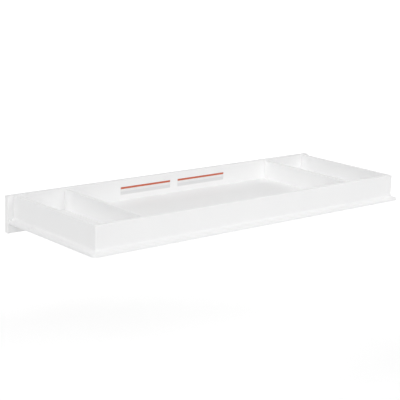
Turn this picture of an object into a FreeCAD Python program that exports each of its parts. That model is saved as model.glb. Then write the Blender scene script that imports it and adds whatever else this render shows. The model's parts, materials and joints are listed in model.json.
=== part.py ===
import FreeCAD, Part
import os
from math import hypot

# A wide changing tray: a base board with a moulded edge, four walls, two dividers and a hanging back lip.
# Millimetres. X runs along the tray, Y from front to back, Z up.
# The origin is the middle of the base's flat underside, which lies on a dresser top.

# Bays and boards
CENTRE_BAY = 850.0        # clear width of the middle bay, which holds a changing pad
END_BAY = 170.0           # clear width of each end bay
BAY_DEPTH = 412.0         # clear depth between the front and back walls
WALL_BOARD = 15.0         # front, sides and dividers
BACK_BOARD = 18.0
BASE_BOARD = 19.0
WALL_HEIGHT = 69.0        # walls above the floor
DIVIDER_DROP = 5.0        # dividers below the walls' top
BACK_OVERHANG = 21.0      # back board past the outer face of each side
LIP_DROP = 30.0           # back board below the base's underside

# Moulded edge of the base
MOULD_PROJECTION = 18.0   # nose past the walls' outer faces
NOSE_HEIGHT = 11.5        # top of the nose, where the cove starts
NOSE_RADIUS = 5.0
FOOT_EASE = 1.5           # rounding of the nose's lower edge
REAR_CHAMFER = 1.5        # base's lower rear edge, kept off the lip

# Eased edges
EDGE_RADIUS = 2.0
CORNER_RADIUS = 6.0       # upright front corners

# Countersunk wood screws
SCREW_LENGTH = 45.0
SCREW_DIAMETER = 4.0
HEAD_DIAMETER = 8.0
HEAD_RIM = 0.5
HEAD_RECESS = 0.5         # heads lie this far under the board's face
SCREW_POINT = 5.0
DRIVE_LENGTH = 4.6        # cross recess in the head
DRIVE_WIDTH = 1.1
DRIVE_DEPTH = 1.6

# Dowels
DOWEL_DIAMETER = 8.0
DOWEL_LENGTH = 30.0
DOWEL_IN_FRONT = 9.0      # length inside the front board
DOWEL_CHAMFER = 1.0

# Drilling
DRILL_CLEARANCE = 0.1     # all round screws and dowels
DRILL_OVER = 1.0          # past the end of a screw or dowel
CUT_PAST = 1.0            # cutting tools run this far past a face
FIXING_MARGIN = 18.0      # from a wall's lower and upper edge to the fixings in its ends
END_SCREW_MARGIN = 60.0   # from the ends of a side or divider to the first base screw
BASE_SCREWS_PER_SIDE = 3
CENTRE_BAY_SCREWS = 4

# Holes through the lip for fastening the tray to a dresser
LIP_HOLE_SPACING = 800.0
LIP_HOLE_DIAMETER = 5.0
LIP_SINK_DIAMETER = 10.0

# Planes and half widths that follow from the sizes above
PAD_X = CENTRE_BAY / 2
DIVIDER_X = PAD_X + WALL_BOARD / 2
END_BAY_X = PAD_X + WALL_BOARD + END_BAY / 2
SIDE_INNER_X = PAD_X + WALL_BOARD + END_BAY
SIDE_X = SIDE_INNER_X + WALL_BOARD / 2
WALL_X = SIDE_INNER_X + WALL_BOARD
BACK_X = WALL_X + BACK_OVERHANG
REAR_Y = (MOULD_PROJECTION + WALL_BOARD + BAY_DEPTH) / 2
BACK_Y = REAR_Y + BACK_BOARD
BAY_FRONT_Y = REAR_Y - BAY_DEPTH
FRONT_Y = BAY_FRONT_Y - WALL_BOARD
FLOOR_Z = BASE_BOARD
TOP_Z = FLOOR_Z + WALL_HEIGHT
DIVIDER_TOP_Z = TOP_Z - DIVIDER_DROP

# Name, middle plane and top of each board that runs from front to back
WALLS = (
    ("left_side", -SIDE_X, TOP_Z),
    ("right_side", SIDE_X, TOP_Z),
    ("left_divider", -DIVIDER_X, DIVIDER_TOP_Z),
    ("right_divider", DIVIDER_X, DIVIDER_TOP_Z),
)

X_AXIS = FreeCAD.Vector(1, 0, 0)
Y_AXIS = FreeCAD.Vector(0, 1, 0)
Z_AXIS = FreeCAD.Vector(0, 0, 1)


def point(x, y, z):
    return FreeCAD.Vector(x, y, z)


def block(low, high):
    size = high - low
    return Part.makeBox(size.x, size.y, size.z, low)


def eased(shape, radius, wanted):
    """Round the edges whose middle the given test accepts."""
    edges = [edge for edge in shape.Edges if wanted(edge.CenterOfMass)]
    return shape.makeFillet(radius, edges)


def near(a, b):
    return abs(a - b) < 1e-6


def turned(outline):
    """Solid of revolution about Z from an outline of (radius, height) points."""
    corners = [point(radius, 0, height) for radius, height in outline]
    face = Part.Face(Part.makePolygon(corners + corners[:1]))
    return face.revolve(point(0, 0, 0), Z_AXIS, 360)


def placed(shape, start, direction):
    """Copy of a shape made along +Z, moved to start and pointing along direction."""
    copy = shape.copy()
    copy.Placement = FreeCAD.Placement(start, FreeCAD.Rotation(Z_AXIS, direction))
    return copy


def mirrored(shape):
    return shape.mirror(point(0, 0, 0), X_AXIS)


def screw():
    """Countersunk screw along +Z, with the top of its head at Z 0 and a cross recess in it."""
    head, shank = HEAD_DIAMETER / 2, SCREW_DIAMETER / 2
    neck = HEAD_RIM + head - shank
    body = turned([(0, 0), (head, 0), (head, HEAD_RIM), (shank, neck),
                   (shank, SCREW_LENGTH - SCREW_POINT), (0, SCREW_LENGTH)])
    arm, half = DRIVE_LENGTH / 2, DRIVE_WIDTH / 2
    cross = [block(point(-arm, -half, -CUT_PAST), point(arm, half, DRIVE_DEPTH)),
             block(point(-half, -arm, -CUT_PAST), point(half, arm, DRIVE_DEPTH))]
    return body.cut(cross)


def screw_hole():
    """Sunk hole along +Z for that screw, from the board's face at Z 0."""
    head, shank = HEAD_DIAMETER / 2 + DRILL_CLEARANCE, SCREW_DIAMETER / 2 + DRILL_CLEARANCE
    rim = HEAD_RECESS + HEAD_RIM
    end = HEAD_RECESS + SCREW_LENGTH + DRILL_OVER
    return turned([(0, -CUT_PAST), (head, -CUT_PAST), (head, rim), (shank, rim + head - shank),
                   (shank, end), (0, end)])


def dowel():
    radius, bevel = DOWEL_DIAMETER / 2, DOWEL_CHAMFER
    return turned([(0, 0), (radius - bevel, 0), (radius, bevel), (radius, DOWEL_LENGTH - bevel),
                   (radius - bevel, DOWEL_LENGTH), (0, DOWEL_LENGTH)])


def dowel_hole():
    length = DOWEL_LENGTH + 2 * DRILL_OVER
    return Part.makeCylinder(DOWEL_DIAMETER / 2 + DRILL_CLEARANCE, length, point(0, 0, -DRILL_OVER))


class Fixing:
    """A row of like screws or dowels: its solids and the holes that it needs."""

    def __init__(self, piece, hole, starts, direction, recess):
        self.solids = [placed(piece, start + direction * recess, direction) for start in starts]
        self.holes = [placed(hole, start, direction) for start in starts]

    def group(self):
        return Part.makeCompound(self.solids)


def base_screws(spots):
    """Screws up through the base at the given (x, y) spots."""
    starts = [point(x, y, 0) for x, y in spots]
    return Fixing(screw(), screw_hole(), starts, Z_AXIS, HEAD_RECESS)


def back_screws(spots):
    """Screws forward through the back board at the given (x, z) spots."""
    starts = [point(x, BACK_Y, z) for x, z in spots]
    return Fixing(screw(), screw_hole(), starts, -Y_AXIS, HEAD_RECESS)


def front_dowels(spots):
    """Dowels from inside the front board back into a wall's end, at the given (x, z) spots."""
    starts = [point(x, BAY_FRONT_Y - DOWEL_IN_FRONT, z) for x, z in spots]
    return Fixing(dowel(), dowel_hole(), starts, Y_AXIS, 0)


def screws_along_bays():
    """X places of the screws that hold a long board: one in each end bay, a row in the middle bay."""
    pitch = CENTRE_BAY / CENTRE_BAY_SCREWS
    row = [(index + 0.5) * pitch - PAD_X for index in range(CENTRE_BAY_SCREWS)]
    return [-END_BAY_X] + row + [END_BAY_X]


def screws_along_wall(x):
    """Spots of the base screws under a side or divider whose middle plane is at x."""
    run = BAY_DEPTH - 2 * END_SCREW_MARGIN
    pitch = run / (BASE_SCREWS_PER_SIDE - 1)
    first = BAY_FRONT_Y + END_SCREW_MARGIN
    return [(x, first + index * pitch) for index in range(BASE_SCREWS_PER_SIDE)]


def wall_end(x, top):
    """The two fixing spots in the end of a side or divider."""
    return [(x, FLOOR_Z + FIXING_MARGIN), (x, top - FIXING_MARGIN)]


def moulding_section(corner, outward):
    """Section of the moulded edge: a nose on the foot, then a cove that runs up to the wall."""
    def at(out, height):
        return corner + outward * out + Z_AXIS * height

    ledge = MOULD_PROJECTION - NOSE_RADIUS
    rise = BASE_BOARD - NOSE_HEIGHT
    chord = hypot(ledge, rise)
    cove_radius = chord ** 2 / (2 * rise)
    sag = cove_radius - (cove_radius ** 2 - chord ** 2 / 4) ** 0.5
    cove_mid = at(ledge / 2 - sag * rise / chord, NOSE_HEIGHT + rise / 2 - sag * ledge / chord)
    bulge = 0.5 ** 0.5
    foot_mid = at(MOULD_PROJECTION - FOOT_EASE * (1 - bulge), FOOT_EASE * (1 - bulge))
    nose_mid = at(ledge + NOSE_RADIUS * bulge, NOSE_HEIGHT - NOSE_RADIUS * (1 - bulge))
    edges = [
        Part.LineSegment(at(0, 0), at(MOULD_PROJECTION - FOOT_EASE, 0)),
        Part.Arc(at(MOULD_PROJECTION - FOOT_EASE, 0), foot_mid, at(MOULD_PROJECTION, FOOT_EASE)),
        Part.LineSegment(at(MOULD_PROJECTION, FOOT_EASE), at(MOULD_PROJECTION, NOSE_HEIGHT - NOSE_RADIUS)),
        Part.Arc(at(MOULD_PROJECTION, NOSE_HEIGHT - NOSE_RADIUS), nose_mid, at(ledge, NOSE_HEIGHT)),
        Part.Arc(at(ledge, NOSE_HEIGHT), cove_mid, at(0, BASE_BOARD)),
        Part.LineSegment(at(0, BASE_BOARD), at(0, 0)),
    ]
    return Part.Face(Part.Wire([edge.toShape() for edge in edges]))


def base_panel():
    """Base board: flat floor, moulded edge along the front and both ends, rounded front corners."""
    left = point(-WALL_X, FRONT_Y, 0)
    core = block(left, point(WALL_X, REAR_Y, BASE_BOARD))
    front = moulding_section(left, -Y_AXIS).extrude(X_AXIS * (2 * WALL_X))
    end = moulding_section(left, -X_AXIS).extrude(Y_AXIS * (REAR_Y - FRONT_Y))
    corner = moulding_section(left, -X_AXIS).revolve(left, Z_AXIS, 90)
    board = core.fuse([front, end, mirrored(end), corner, mirrored(corner)]).removeSplitter()
    return board.cut(rear_bevel())


def rear_bevel():
    """Three-cornered bar that takes off the base's lower rear edge."""
    reach = WALL_X + MOULD_PROJECTION + CUT_PAST
    leg = REAR_CHAMFER + CUT_PAST
    corners = [point(-reach, REAR_Y + CUT_PAST, -CUT_PAST), point(-reach, REAR_Y - leg, -CUT_PAST),
               point(-reach, REAR_Y + CUT_PAST, leg)]
    return Part.Face(Part.makePolygon(corners + corners[:1])).extrude(X_AXIS * (2 * reach))


def front_panel():
    board = block(point(-WALL_X, FRONT_Y, FLOOR_Z), point(WALL_X, BAY_FRONT_Y, TOP_Z))
    middle_z = (FLOOR_Z + TOP_Z) / 2
    board = eased(board, CORNER_RADIUS, lambda mid: near(mid.y, FRONT_Y) and near(mid.z, middle_z))
    return eased(board, EDGE_RADIUS, lambda mid: near(mid.z, TOP_Z))


def wall(x, top):
    """Side or divider whose middle plane is at x, with its top edges eased."""
    half = WALL_BOARD / 2
    board = block(point(x - half, BAY_FRONT_Y, FLOOR_Z), point(x + half, REAR_Y, top))
    return eased(board, EDGE_RADIUS, lambda mid: near(mid.z, top) and not near(mid.x, x))


def back_panel():
    board = block(point(-BACK_X, REAR_Y, -LIP_DROP), point(BACK_X, BACK_Y, TOP_Z))
    return board.makeFillet(EDGE_RADIUS, board.Edges)


def lip_holes():
    """Sunk holes through the lip, entered from behind."""
    radius, sink = LIP_HOLE_DIAMETER / 2, LIP_SINK_DIAMETER / 2
    end = BACK_BOARD + CUT_PAST
    hole = turned([(0, -CUT_PAST), (sink + CUT_PAST, -CUT_PAST), (radius, sink - radius),
                   (radius, end), (0, end)])
    places = [point(side * LIP_HOLE_SPACING / 2, BACK_Y, -LIP_DROP / 2) for side in (-1, 1)]
    return [placed(hole, place, -Y_AXIS) for place in places]


def drilled(board, fixings):
    holes = [hole for fixing in fixings for hole in fixing.holes]
    return board.cut(holes)


def build():
    """All pieces by name."""
    along_bays = screws_along_bays()
    front_row = base_screws([(x, (FRONT_Y + BAY_FRONT_Y) / 2) for x in along_bays])
    rear_row = back_screws([(x, BASE_BOARD / 2) for x in along_bays])
    pieces = {"front_panel_base_screws": front_row.group(), "base_panel_back_screws": rear_row.group()}
    below, behind, pegs = [front_row], [rear_row], []
    for name, x, top in WALLS:
        spots = wall_end(x, top)
        rows = base_screws(screws_along_wall(x)), back_screws(spots), front_dowels(spots)
        pieces[name] = drilled(wall(x, top), rows)
        suffixes = "_base_screws", "_back_screws", "_dowels"
        for suffix, row, kind in zip(suffixes, rows, (below, behind, pegs)):
            pieces[name + suffix] = row.group()
            kind.append(row)
    pieces["base_panel"] = drilled(base_panel(), below + [rear_row])
    pieces["front_panel"] = drilled(front_panel(), pegs + [front_row])
    pieces["back_panel"] = drilled(back_panel(), behind).cut(lip_holes())
    return pieces


os.makedirs("parts", exist_ok=True)
for piece_name, piece in build().items():
    piece.exportStep("parts/" + piece_name + ".step")
    print(piece_name, "solids:", len(piece.Solids), "valid:", piece.isValid(), "mm3:", round(piece.Volume))
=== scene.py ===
import json
import math

import bmesh
import bpy
from mathutils import Matrix, Vector

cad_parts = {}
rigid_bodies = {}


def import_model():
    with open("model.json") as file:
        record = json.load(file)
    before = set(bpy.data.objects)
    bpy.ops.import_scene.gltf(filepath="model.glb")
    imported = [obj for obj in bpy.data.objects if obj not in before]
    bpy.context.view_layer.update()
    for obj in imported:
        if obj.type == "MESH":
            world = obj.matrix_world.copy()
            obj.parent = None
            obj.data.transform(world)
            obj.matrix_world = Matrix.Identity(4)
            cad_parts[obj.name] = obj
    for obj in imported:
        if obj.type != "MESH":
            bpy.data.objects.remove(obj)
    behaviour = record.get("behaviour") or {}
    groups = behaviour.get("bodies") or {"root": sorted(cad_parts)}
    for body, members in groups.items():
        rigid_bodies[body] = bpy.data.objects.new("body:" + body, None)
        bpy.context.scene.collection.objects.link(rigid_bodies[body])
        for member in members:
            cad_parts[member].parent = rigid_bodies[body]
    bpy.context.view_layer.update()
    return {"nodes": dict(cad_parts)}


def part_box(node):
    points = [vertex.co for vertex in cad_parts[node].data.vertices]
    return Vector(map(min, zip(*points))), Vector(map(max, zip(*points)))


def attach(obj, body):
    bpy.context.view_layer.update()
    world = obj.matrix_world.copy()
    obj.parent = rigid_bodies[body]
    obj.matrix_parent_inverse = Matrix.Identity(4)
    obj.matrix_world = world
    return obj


# A white painted changing tray: the boards and fixings come from the frame, and this script adds
# their finishes, two blank stickers, the camera, the light and the floor. Metres, in the frame's axes.

for start_up_object in list(bpy.data.objects):
    bpy.data.objects.remove(start_up_object)

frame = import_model()

# Camera
CAMERA_PLACE = Vector((-2.4439, -2.7397, 0.9170))
CAMERA_YAW = 40.892           # degrees from +Y towards +X
CAMERA_PITCH = 13.489         # degrees below the horizon
CAMERA_ROLL = -2.045          # degrees
LENS = 104.84                 # millimetres
SENSOR = 36.0                 # millimetres of width

# Floor
DRESSER_HEIGHT = 0.85         # the tray hangs as high over the floor as a dresser would carry it
FLOOR_REACH = 40.0
FLOOR_SIDES = 64
FLOOR_COLOUR = (0.88, 0.88, 0.88)
FLOOR_SHADE = (0.8712, 0.8712, 0.8712)
FLOOR_LIFT = 0.38             # brings the lit floor up to white near the tray
FAR_FLOOR = (1.5, 6.0)        # the floor fades to full white between these distances

# Light
WHITE = (1.0, 1.0, 1.0)
AMBIENT = 0.28                # strength of the even light from all round
FAR_SOFTBOX = (16.0, 12.0, 6.0)     # distance, width and height
CLOSE_SOFTBOX = (3.0, 1.4, 1.0)     # the same

# Name, bearing in degrees from -Y towards -X, degrees above the horizon, kind of box, watts
SOFTBOXES = (
    ("front_softbox", -5.0, 30.0, CLOSE_SOFTBOX, 24.4),
    ("camera_softbox", 40.0, 25.0, FAR_SOFTBOX, 660.0),
    ("left_softbox", 90.0, 45.0, FAR_SOFTBOX, 790.0),
    ("right_softbox", -90.0, 25.0, FAR_SOFTBOX, 400.0),
    ("back_softbox", 180.0, 25.0, FAR_SOFTBOX, 340.0),
)

# Stickers
STICKER_WIDTH = 0.209
STICKER_HEIGHT = 0.0272
STICKER_SPACING = 0.2394      # between the two middles
STICKER_MIDDLE = Vector((0.0014, 0.0512))   # of the pair, along X and Z
STICKER_FILM = 0.00016        # thickness of the card
STICKER_INK = 0.00003         # thickness of the print on it
STICKER_CORNER = 0.002
STICKER_BORDER = 0.0012
BAND_HEIGHT = 0.0064
BAND_GAP = 0.0085             # from the band down to the field
CORNER_STEPS = 6              # to a quarter turn

# Colours
PAINT = (0.920, 0.920, 0.920)
PAINT_SHADE = (0.905, 0.905, 0.906)
# darker colour for upper edges: partly thinner paint, partly painted shade on the tops
PAINT_WORN_EDGE_AND_SHADE = (0.870, 0.868, 0.862)
PAPER = (0.85, 0.85, 0.845)
BAND_INK = (0.58, 0.110, 0.042)
FIELD_INK = (0.765, 0.765, 0.77)
INK_FADE = 0.93               # worn ink keeps this share of its colour
INK_HAZE = 0.02               # and gains this much white
STEEL = (0.66, 0.67, 0.69)
STEEL_DULL = (0.50, 0.51, 0.53)
BEECH = (0.62, 0.42, 0.25)
BEECH_DARK = (0.46, 0.28, 0.14)

# Even noises: bumps to the metre, detail, and roughness where it isn't the usual one
FLOOR_CLOUDS = (3.0, 3.0)
PAINT_CLOUDS = (6.0, 4.0)
PAINT_PEEL = (420.0, 1.0)     # orange peel of the sprayed film
STEEL_PATCHES = (350.0, 4.0, 0.65)
STEEL_MARKS = (3600.0, 2.0)
PRINT_MOTTLE = (900.0, 3.0)
PRINT_FIBRES = (2600.0, 2.0)

# Drawn-out noises: bumps to the metre across and along the grain, then detail and roughness
PAINT_STROKES = (240.0, 5.0, 3.0)
BEECH_GRAIN = (700.0, 40.0, 4.0, 0.6)
BEECH_FLECKS = (1600.0, 260.0, 1.0)
USUAL_ROUGHNESS = 0.5

# Levels between which a noise, or the sum of two, brings on its effect
NOISE_SPREAD = (0.3, 0.7)
UPPER_SPREAD = (0.35, 0.7)
FLECK_SPREAD = (0.62, 0.72)
SUM_SPREAD = (0.7, 1.3)

# Gloss and relief
PAINT_ROUGHNESS = (0.42, 0.52)
PAINT_SPECULAR = 0.25
STEEL_ROUGHNESS = (0.24, 0.42)
BEECH_ROUGHNESS = (0.55, 0.7)
PRINT_ROUGHNESS = (0.38, 0.5)
PEEL_DEPTH = 0.00003
STROKE_DEPTH = 0.00004
MARK_DEPTH = 0.00001
GRAIN_DEPTH = 0.00006
FIBRE_DEPTH = 0.000006

# Upper edges of the paint, painted darker: partly thinner paint on the arrises, partly painted shade that
# darkens the tops
EDGE_REACH = 0.0025
EDGE_SAMPLES = 4
EDGE_TURN = (0.995, 0.80)     # cosine between the true and the rounded normal, on flats and on edges
EDGE_RISE = (0.1, 0.3)        # upward part of the rounded normal over which the darkening sets in

# Colour sockets of a Mix node, which share their names with its number sockets
MIX_FACTOR, MIX_A, MIX_B = 0, 6, 7
MIX_RESULT = 2


class Nodes:
    """A node tree under construction."""

    def __init__(self, tree):
        self.tree = tree
        tree.nodes.clear()

    def add(self, kind, inputs=None, **settings):
        made = self.tree.nodes.new(kind)
        for name, value in settings.items():
            setattr(made, name, value)
        for name, value in (inputs or {}).items():
            self.feed(made.inputs[name], value)
        return made

    def feed(self, socket, value):
        if isinstance(value, bpy.types.NodeSocket):
            self.tree.links.new(value, socket)
        elif isinstance(value, tuple) and socket.type == "RGBA":
            socket.default_value = (*value, 1.0)
        else:
            socket.default_value = value

    def place(self):
        return self.add("ShaderNodeTexCoord").outputs["Object"]

    def noise(self, vector, scale, detail, roughness=USUAL_ROUGHNESS):
        made = self.add("ShaderNodeTexNoise", {"Vector": vector, "Scale": scale, "Detail": detail,
                                               "Roughness": roughness})
        return made.outputs["Fac"]

    def grain(self, vector, axis, across, along, detail, roughness=USUAL_ROUGHNESS):
        """Noise that is fine across one axis and drawn out along it."""
        scale = tuple(along if letter == axis else across for letter in "XYZ")
        stretched = self.add("ShaderNodeMapping", {"Vector": vector, "Scale": scale})
        return self.noise(stretched.outputs["Vector"], 1.0, detail, roughness)

    def ramp(self, value, low, high, to_low=0.0, to_high=1.0):
        made = self.add("ShaderNodeMapRange", {"Value": value, "From Min": low, "From Max": high,
                                               "To Min": to_low, "To Max": to_high})
        return made.outputs["Result"]

    def mix(self, factor, a, b):
        made = self.add("ShaderNodeMix", {MIX_FACTOR: factor, MIX_A: a, MIX_B: b}, data_type="RGBA")
        return made.outputs[MIX_RESULT]

    def math(self, operation, a, b):
        return self.add("ShaderNodeMath", {0: a, 1: b}, operation=operation).outputs[0]

    def bump(self, height, distance, normal=None):
        inputs = {"Height": height, "Distance": distance, "Strength": 1.0}
        if normal is not None:
            inputs["Normal"] = normal
        return self.add("ShaderNodeBump", inputs).outputs["Normal"]

    def surface(self, **inputs):
        names = {name.replace("_", " "): value for name, value in inputs.items()}
        shader = self.add("ShaderNodeBsdfPrincipled", names)
        self.add("ShaderNodeOutputMaterial", {"Surface": shader.outputs["BSDF"]})


def new_material(name):
    material = bpy.data.materials.new(name)
    material.use_nodes = True
    return material, Nodes(material.node_tree)


def worn_edge_and_shade_mask(nodes):
    """1 on upper edges, 0 on flats: how far a rounded normal leaves the true one, where it looks upwards. It
    marks where thinner paint and painted shade darken the tops.
    """
    rounded = nodes.add("ShaderNodeBevel", {"Radius": EDGE_REACH}, samples=EDGE_SAMPLES).outputs["Normal"]
    true = nodes.add("ShaderNodeNewGeometry").outputs["Normal"]
    facing = nodes.add("ShaderNodeVectorMath", {0: rounded, 1: true}, operation="DOT_PRODUCT")
    height = nodes.add("ShaderNodeSeparateXYZ", {"Vector": rounded}).outputs["Z"]
    turned = nodes.ramp(facing.outputs["Value"], *EDGE_TURN)
    return nodes.math("MULTIPLY", turned, nodes.ramp(height, *EDGE_RISE))


def paint(name, axis):
    """Satin paint, sprayed over a board whose faint grain runs along the given axis."""
    material, nodes = new_material(name)
    place = nodes.place()
    cloud = nodes.noise(place, *PAINT_CLOUDS)
    strokes = nodes.grain(place, axis, *PAINT_STROKES)
    peel = nodes.noise(place, *PAINT_PEEL)
    tone = nodes.mix(nodes.ramp(cloud, *NOISE_SPREAD), PAINT, PAINT_SHADE)
    # upper edges painted darker: partly thinner paint, partly painted shade on the tops
    colour = nodes.mix(worn_edge_and_shade_mask(nodes), tone, PAINT_WORN_EDGE_AND_SHADE)
    roughness = nodes.ramp(nodes.math("ADD", cloud, strokes), *SUM_SPREAD, *PAINT_ROUGHNESS)
    normal = nodes.bump(peel, PEEL_DEPTH, nodes.bump(strokes, STROKE_DEPTH))
    nodes.surface(Base_Color=colour, Roughness=roughness, Normal=normal, Specular_IOR_Level=PAINT_SPECULAR)
    return material


def steel():
    """Zinc-plated screw steel with fine marks and duller patches."""
    material, nodes = new_material("screw_steel_finish")
    place = nodes.place()
    patches = nodes.noise(place, *STEEL_PATCHES)
    marks = nodes.noise(place, *STEEL_MARKS)
    colour = nodes.mix(nodes.ramp(patches, *UPPER_SPREAD), STEEL, STEEL_DULL)
    roughness = nodes.ramp(patches, *NOISE_SPREAD, *STEEL_ROUGHNESS)
    nodes.surface(Base_Color=colour, Metallic=1.0, Roughness=roughness, Normal=nodes.bump(marks, MARK_DEPTH))
    return material


def beech():
    """Bare beech with short flecks along the dowel."""
    material, nodes = new_material("dowel_beech_finish")
    place = nodes.place()
    grain = nodes.grain(place, "Y", *BEECH_GRAIN)
    flecks = nodes.grain(place, "Y", *BEECH_FLECKS)
    tone = nodes.mix(nodes.ramp(grain, *UPPER_SPREAD), BEECH, BEECH_DARK)
    colour = nodes.mix(nodes.ramp(flecks, *FLECK_SPREAD), tone, BEECH_DARK)
    roughness = nodes.ramp(grain, *NOISE_SPREAD, *BEECH_ROUGHNESS)
    nodes.surface(Base_Color=colour, Roughness=roughness, Normal=nodes.bump(grain, GRAIN_DEPTH))
    return material


def printed(name, ink):
    """Coated sticker film with a little mottle in its colour and sheen."""
    material, nodes = new_material(name)
    place = nodes.place()
    mottle = nodes.noise(place, *PRINT_MOTTLE)
    fibres = nodes.noise(place, *PRINT_FIBRES)
    worn = tuple(channel * INK_FADE + INK_HAZE for channel in ink)
    colour = nodes.mix(nodes.ramp(mottle, *UPPER_SPREAD), ink, worn)
    roughness = nodes.ramp(fibres, *NOISE_SPREAD, *PRINT_ROUGHNESS)
    nodes.surface(Base_Color=colour, Roughness=roughness, Normal=nodes.bump(fibres, FIBRE_DEPTH))
    return material


def finish_nodes():
    """Give every board, screw and dowel of the frame its finish."""
    across, deep = paint("paint_along_x", "X"), paint("paint_along_y", "Y")
    metal, wood = steel(), beech()
    for name, node in frame["nodes"].items():
        if name.endswith("screws"):
            finish = metal
        elif name.endswith("dowels"):
            finish = wood
        elif name.endswith(("side", "divider")):
            finish = deep
        else:
            finish = across
        for slot in node.material_slots:
            slot.material = finish


def rounded_outline(low, high, radius):
    """Points round a rectangle with rounded corners, in X and Z."""
    points = []
    centres = ((high.x - radius, high.y - radius), (low.x + radius, high.y - radius),
               (low.x + radius, low.y + radius), (high.x - radius, low.y + radius))
    for corner, (x, z) in enumerate(centres):
        for step in range(CORNER_STEPS + 1):
            turn = math.radians(90 * (corner + step / CORNER_STEPS))
            points.append((x + radius * math.cos(turn), z + radius * math.sin(turn)))
    return points


def film(name, low, high, radius, back, thickness, material):
    """A thin film facing -Y with rounded corners and a softened rim, its back at Y = back."""
    mesh = bpy.data.meshes.new(name)
    shape = bmesh.new()
    rim = thickness / 2
    inner_low, inner_high = low + Vector((rim, rim)), high - Vector((rim, rim))
    rings = ((rounded_outline(low, high, radius), back),
             (rounded_outline(low, high, radius), back - thickness + rim),
             (rounded_outline(inner_low, inner_high, radius - rim), back - thickness))
    loops = [[shape.verts.new((x, y, z)) for x, z in outline] for outline, y in rings]
    for lower, upper in zip(loops, loops[1:]):
        for index in range(len(lower)):
            after = (index + 1) % len(lower)
            shape.faces.new((lower[index], lower[after], upper[after], upper[index]))
    shape.faces.new(loops[0])
    shape.faces.new(reversed(loops[-1]))
    bmesh.ops.recalc_face_normals(shape, faces=shape.faces)
    shape.to_mesh(mesh)
    shape.free()
    mesh.materials.append(material)
    piece = bpy.data.objects.new(name, mesh)
    bpy.context.scene.collection.objects.link(piece)
    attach(piece, "root")


def add_sticker(name, middle, materials):
    """A blank sticker on the back board's front face: a card with a plain band over a plain field."""
    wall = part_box("back_panel")[0].y
    half = Vector((STICKER_WIDTH, STICKER_HEIGHT)) / 2
    border = Vector((STICKER_BORDER, STICKER_BORDER))
    low, high = middle - half, middle + half
    inner_low, inner_high = low + border, high - border
    band_low = Vector((inner_low.x, inner_high.y - BAND_HEIGHT))
    field_high = Vector((inner_high.x, band_low.y - BAND_GAP))
    ink_corner = STICKER_CORNER - STICKER_BORDER
    print_back = wall - STICKER_FILM
    film(name + "_card", low, high, STICKER_CORNER, wall, STICKER_FILM, materials["card"])
    film(name + "_band", band_low, inner_high, ink_corner, print_back, STICKER_INK, materials["band"])
    film(name + "_field", inner_low, field_high, ink_corner, print_back, STICKER_INK, materials["field"])


def add_stickers():
    materials = {"card": printed("sticker_card", PAPER), "band": printed("sticker_band", BAND_INK),
                 "field": printed("sticker_field", FIELD_INK)}
    offset = Vector((STICKER_SPACING / 2, 0.0))
    add_sticker("left_sticker", STICKER_MIDDLE - offset, materials)
    add_sticker("right_sticker", STICKER_MIDDLE + offset, materials)


def seen_directly(nodes):
    """1 for rays from the camera, or from a mirror or glass that the camera sees, and 0 for light."""
    path = nodes.add("ShaderNodeLightPath").outputs
    seen = nodes.math("MAXIMUM", path["Is Camera Ray"], path["Is Glossy Ray"])
    return nodes.math("MAXIMUM", seen, path["Is Transmission Ray"])


def add_world():
    """Even light from all round, seen as a white background."""
    world = bpy.data.worlds.new("studio")
    world.use_nodes = True
    bpy.context.scene.world = world
    nodes = Nodes(world.node_tree)
    light = nodes.add("ShaderNodeBackground", {"Color": WHITE, "Strength": AMBIENT})
    white = nodes.add("ShaderNodeBackground", {"Color": WHITE, "Strength": 1.0})
    mixed = nodes.add("ShaderNodeMixShader", {0: seen_directly(nodes), 1: light.outputs[0],
                                              2: white.outputs[0]})
    nodes.add("ShaderNodeOutputWorld", {"Surface": mixed.outputs[0]})


def floor_material():
    """Pale matt floor that takes the tray's shadow."""
    material, nodes = new_material("floor")
    place = nodes.place()
    colour = nodes.mix(nodes.noise(place, *FLOOR_CLOUDS), FLOOR_COLOUR, FLOOR_SHADE)
    matt = nodes.add("ShaderNodeBsdfDiffuse", {"Color": colour})
    away = nodes.add("ShaderNodeVectorMath", {0: place}, operation="LENGTH").outputs["Value"]
    lift = nodes.math("MULTIPLY", seen_directly(nodes), nodes.ramp(away, *FAR_FLOOR, FLOOR_LIFT, 1.0))
    glow = nodes.add("ShaderNodeEmission", {"Color": WHITE, "Strength": lift})
    both = nodes.add("ShaderNodeAddShader", {0: matt.outputs[0], 1: glow.outputs[0]})
    nodes.add("ShaderNodeOutputMaterial", {"Surface": both.outputs[0]})
    return material


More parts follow.
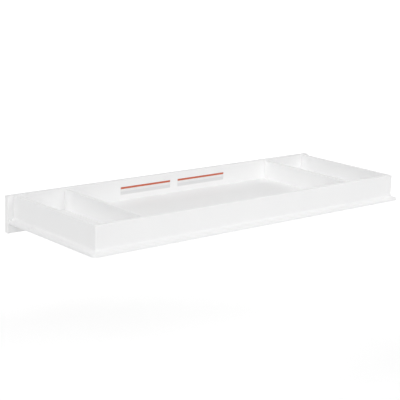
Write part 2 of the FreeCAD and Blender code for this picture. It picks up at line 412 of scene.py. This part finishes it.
def add_floor():
    mesh = bpy.data.meshes.new("floor")
    shape = bmesh.new()
    bmesh.ops.create_circle(shape, cap_ends=True, segments=FLOOR_SIDES, radius=FLOOR_REACH)
    shape.to_mesh(mesh)
    shape.free()
    mesh.materials.append(floor_material())
    floor = bpy.data.objects.new("floor", mesh)
    floor.location.z = -DRESSER_HEIGHT
    bpy.context.scene.collection.objects.link(floor)


def add_softbox(name, bearing, rise, kind, power):
    """Rectangular light that faces the tray from a bearing off -Y and a rise over the horizon."""
    bearing, rise = math.radians(bearing), math.radians(rise)
    distance, width, height = kind
    away = Vector((-math.sin(bearing) * math.cos(rise), -math.cos(bearing) * math.cos(rise), math.sin(rise)))
    lamp = bpy.data.lights.new(name, "AREA")
    lamp.shape = "RECTANGLE"
    lamp.size, lamp.size_y = width, height
    lamp.energy = power
    holder = bpy.data.objects.new(name, lamp)
    holder.location = away * distance
    holder.rotation_mode = "QUATERNION"
    holder.rotation_quaternion = away.to_track_quat("Z", "Y")
    holder.visible_camera = False
    bpy.context.scene.collection.objects.link(holder)


def add_camera():
    yaw, pitch, roll = (math.radians(turn) for turn in (CAMERA_YAW, CAMERA_PITCH, CAMERA_ROLL))
    forward = Vector((math.sin(yaw) * math.cos(pitch), math.cos(yaw) * math.cos(pitch), -math.sin(pitch)))
    level = Vector((math.cos(yaw), -math.sin(yaw), 0.0))
    drop = forward.cross(level)
    right = level * math.cos(roll) + drop * math.sin(roll)
    up = level * math.sin(roll) - drop * math.cos(roll)
    data = bpy.data.cameras.new("camera")
    data.lens, data.sensor_width = LENS, SENSOR
    camera = bpy.data.objects.new("camera", data)
    turn = Matrix((right, up, -forward)).transposed().to_4x4()
    camera.matrix_world = Matrix.Translation(CAMERA_PLACE) @ turn
    bpy.context.scene.collection.objects.link(camera)
    bpy.context.scene.camera = camera


finish_nodes()
add_stickers()
add_world()
add_floor()
for softbox in SOFTBOXES:
    add_softbox(*softbox)
add_camera()
bpy.context.scene.view_settings.view_transform = "Standard"
